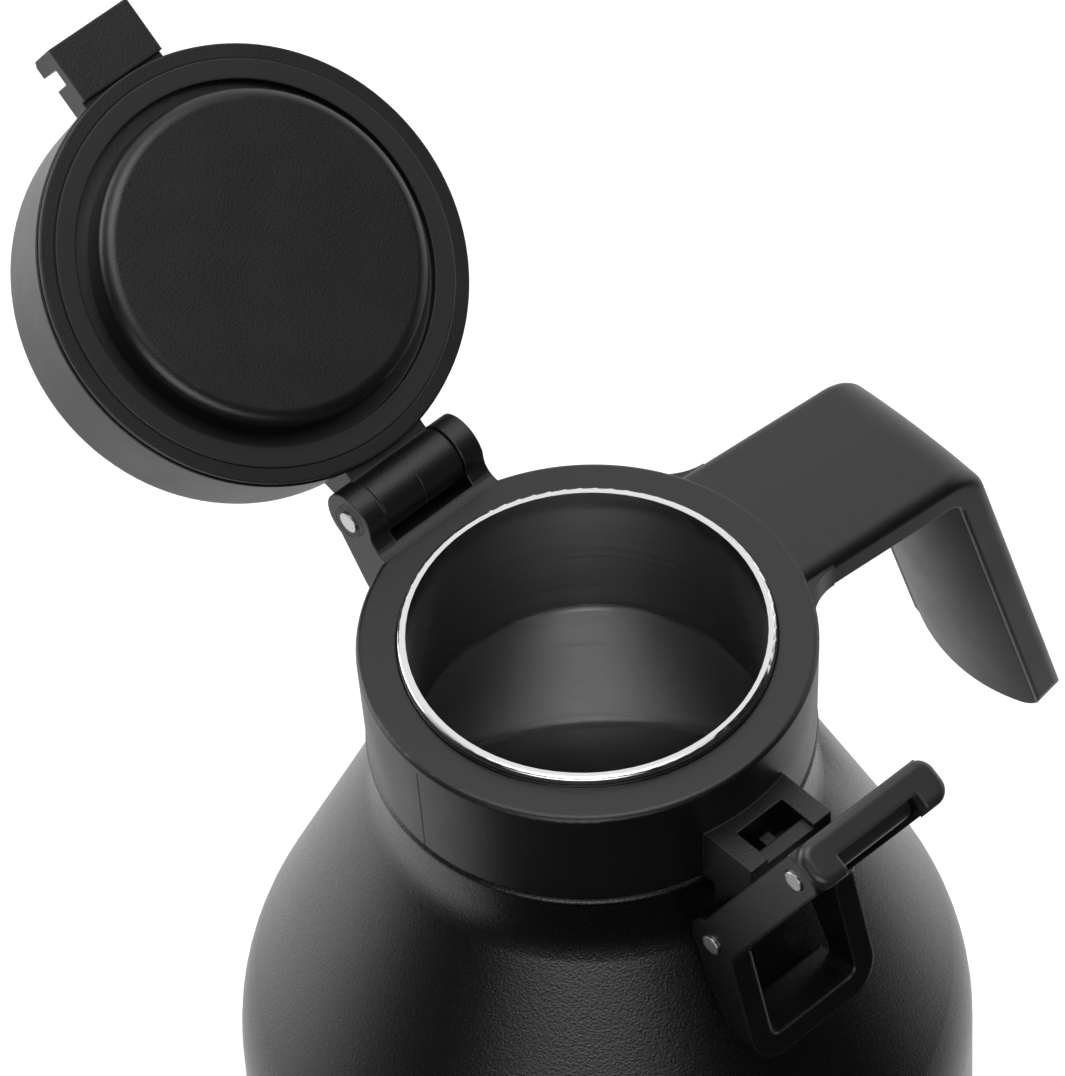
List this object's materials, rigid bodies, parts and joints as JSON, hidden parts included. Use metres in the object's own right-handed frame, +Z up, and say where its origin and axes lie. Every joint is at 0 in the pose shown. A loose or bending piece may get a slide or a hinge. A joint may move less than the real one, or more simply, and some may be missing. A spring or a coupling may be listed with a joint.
{
  "type": "insulated growler",
  "caption": "Insulated growler: a double-wall steel bottle with a shoulder, a moulded collar, an open side handle, a hinged lid standing open and a released lever latch.",
  "frame": {"origin": "centre of the base, on the surface that the growler stands on", "axes": "+Z up along the vessel's axis, +X towards the handle, -Y towards the latch and +Y towards the lid hinge"},
  "size_m": [0.1684, 0.203, 0.3006],
  "materials": {
    "powder_coat": "fine black powder coat",
    "steel": "brushed stainless steel",
    "pin_steel": "plain turned pin",
    "black_plastic": "fine-grained moulding",
    "grip_plastic": "softer, smooth moulding",
    "lid_plastic": "satin moulding",
    "gloss_black": "polished moulding",
    "silicone": "soft seal",
    "foam": "rigid foam, out of sight",
    "seal_bead": "brazed bead, out of sight"
  },
  "bodies": {
    "flask": {"outer_shell": "powder_coat", "inner_liner": "steel", "base_disc": "steel", "vacuum_seal": "seal_bead", "collar": "black_plastic", "collar_seal": "silicone", "handle": "black_plastic", "handle_grip": "grip_plastic", "hinge_pin": "pin_steel", "latch_pin_lower": "pin_steel"},
    "lid": {"lid_cap": "lid_plastic", "lid_base": "lid_plastic", "lid_insulation": "foam", "lid_plug": "lid_plastic", "lid_gasket": "silicone"},
    "lever": {"latch_lever": "black_plastic", "latch_pin_upper": "pin_steel"},
    "clasp": {"latch_clasp": "gloss_black"}
  },
  "joints": [
    {"name": "lid_hinge", "type": "hinge", "parent": "flask", "child": "lid", "pos_m": [0, 0.0462, 0.2432], "axis": [1, 0, 0], "range_deg": [0, 145]},
    {"name": "latch_pivot", "type": "hinge", "parent": "flask", "child": "lever", "pos_m": [0, -0.0454, 0.209], "axis": [-1, 0, 0], "range_deg": [0, 18.8]},
    {"name": "clasp_pivot", "type": "hinge", "parent": "lever", "child": "clasp", "pos_m": [0, -0.06646, 0.24592], "axis": [-1, 0, 0], "range_deg": [0, 96]}
  ]
}
